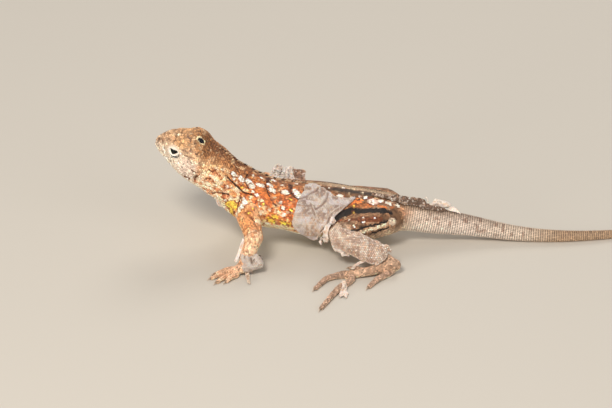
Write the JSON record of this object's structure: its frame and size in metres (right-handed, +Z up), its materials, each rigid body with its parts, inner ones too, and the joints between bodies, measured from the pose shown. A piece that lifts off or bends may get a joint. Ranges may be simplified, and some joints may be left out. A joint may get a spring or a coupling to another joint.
{
  "type": "madagascar three-eyed lizard",
  "caption": "Life-size still model of a three-eyed lizard standing with its head and chest raised, its long tail on the ground, in spotted scaly skin with patches of shed skin.",
  "frame": {"origin": "middle of the model's outer box at floor level", "axes": "+X towards the tip of the tail, -Y on the animal's left side, +Z up"},
  "size_m": [0.2014, 0.0784, 0.0381],
  "materials": {
    "skin": "matt keeled scales, orange brown with white and yellow spots, greyish on the head and tail",
    "eye": "wet gloss, near black",
    "claw": "smooth dark horn",
    "shed_skin": "dry, thin and creased, whitish grey"
  },
  "bodies": {
    "root": {"head": "skin", "eye_left": "eye", "eye_right": "eye", "third_eye": "eye", "neck": "skin", "torso": "skin", "tail_base": "skin", "tail_middle": "skin", "tail_tip": "skin", "upper_arm_left": "skin", "forearm_left": "skin", "hand_left": "skin", "upper_arm_right": "skin", "forearm_right": "skin", "hand_right": "skin", "thigh_left": "skin", "shin_left": "skin", "foot_left": "skin", "thigh_right": "skin", "shin_right": "skin", "foot_right": "skin", "slough_back": "shed_skin", "slough_tail": "shed_skin", "slough_wrist_left": "shed_skin"}
  },
  "joints": []
}
